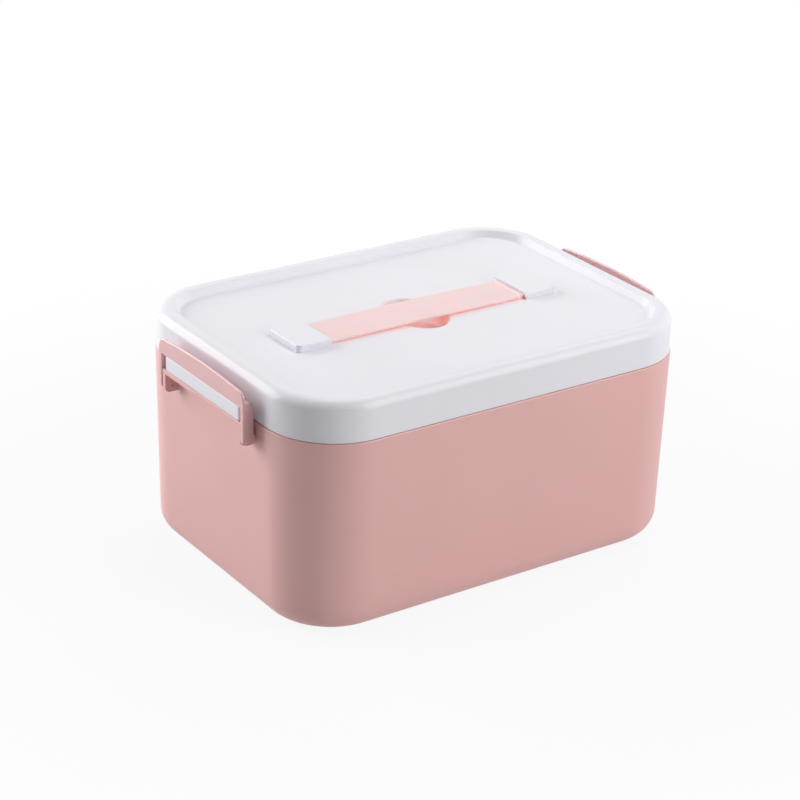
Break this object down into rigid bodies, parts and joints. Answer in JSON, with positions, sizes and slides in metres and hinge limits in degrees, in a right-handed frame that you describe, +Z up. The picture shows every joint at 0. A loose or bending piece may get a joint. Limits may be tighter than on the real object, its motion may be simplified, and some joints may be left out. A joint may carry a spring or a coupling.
{
  "type": "first aid box with handle",
  "caption": "Moulded first aid box with a lift-off lid held by side latches, a flat carrying strap and a lift-out compartment tray.",
  "frame": {"origin": "middle of the base, on the surface that the box stands on", "axes": "+X along the long side towards the right latch, +Y across towards the back long side, +Z up"},
  "size_m": [0.3404, 0.2316, 0.1675],
  "materials": {
    "pink_plastic": "moulded, semi-gloss, dusty pink",
    "white_plastic": "moulded, glossy, cool white",
    "pale_pink_plastic": "moulded, satin, flexible, pale pink",
    "tray_plastic": "moulded, satin white",
    "divider_plastic": "moulded, satin translucent white"
  },
  "bodies": {
    "tub": {"tub": "pink_plastic"},
    "lid": {"lid": "white_plastic", "strap_cap_left": "white_plastic", "strap_cap_right": "white_plastic"},
    "latch_left": {"latch_left": "pink_plastic"},
    "latch_right": {"latch_right": "pink_plastic"},
    "strap": {"strap_band": "pale_pink_plastic"},
    "strap_end_left": {"strap_end_left": "pale_pink_plastic"},
    "strap_end_right": {"strap_end_right": "pale_pink_plastic"},
    "tray": {"tray": "tray_plastic"},
    "divider_left": {"tray_divider_left": "divider_plastic"},
    "divider_right": {"tray_divider_right": "divider_plastic"}
  },
  "joints": [
    {"name": "lid_lift", "type": "slide", "parent": "tub", "child": "lid", "axis": [0, 0, 1], "range_m": [0, 0.042]},
    {"name": "latch_left_hinge", "type": "hinge", "parent": "tub", "child": "latch_left", "pos_m": [-0.1645, 0, 0.1278], "axis": [0, -1, 0], "range_deg": [0, 105]},
    {"name": "latch_right_hinge", "type": "hinge", "parent": "tub", "child": "latch_right", "pos_m": [0.1645, 0, 0.1278], "axis": [0, 1, 0], "range_deg": [0, 105]},
    {"name": "handle_lift", "type": "slide", "parent": "lid", "child": "strap", "axis": [0, 0, 1], "range_m": [0, 0.026], "deforming": ["strap_band"]},
    {"name": "strap_end_left_slide", "type": "slide", "parent": "lid", "child": "strap_end_left", "axis": [1, 0, 0], "range_m": [0, 0.0056]},
    {"name": "strap_end_right_slide", "type": "slide", "parent": "lid", "child": "strap_end_right", "axis": [-1, 0, 0], "range_m": [0, 0.0056]},
    {"name": "tray_lift", "type": "slide", "parent": "tub", "child": "tray", "axis": [0, 0, 1], "range_m": [0, 0.021]},
    {"name": "divider_left_lift", "type": "slide", "parent": "tray", "child": "divider_left", "axis": [0, 0, 1], "range_m": [0, 0.0126]},
    {"name": "divider_right_lift", "type": "slide", "parent": "tray", "child": "divider_right", "axis": [0, 0, 1], "range_m": [0, 0.0126]}
  ],
  "couplings": [
    {"joint": "latch_left_hinge", "follows": "lid_lift", "rad_per_m": 43.633},
    {"joint": "latch_right_hinge", "follows": "lid_lift", "rad_per_m": 43.633},
    {"joint": "tray_lift", "follows": "lid_lift", "ratio": 0.5},
    {"joint": "divider_left_lift", "follows": "lid_lift", "ratio": 0.3},
    {"joint": "divider_right_lift", "follows": "lid_lift", "ratio": 0.3},
    {"joint": "strap_end_left_slide", "follows": "handle_lift", "ratio": 0.2153},
    {"joint": "strap_end_right_slide", "follows": "handle_lift", "ratio": 0.2153}
  ]
}
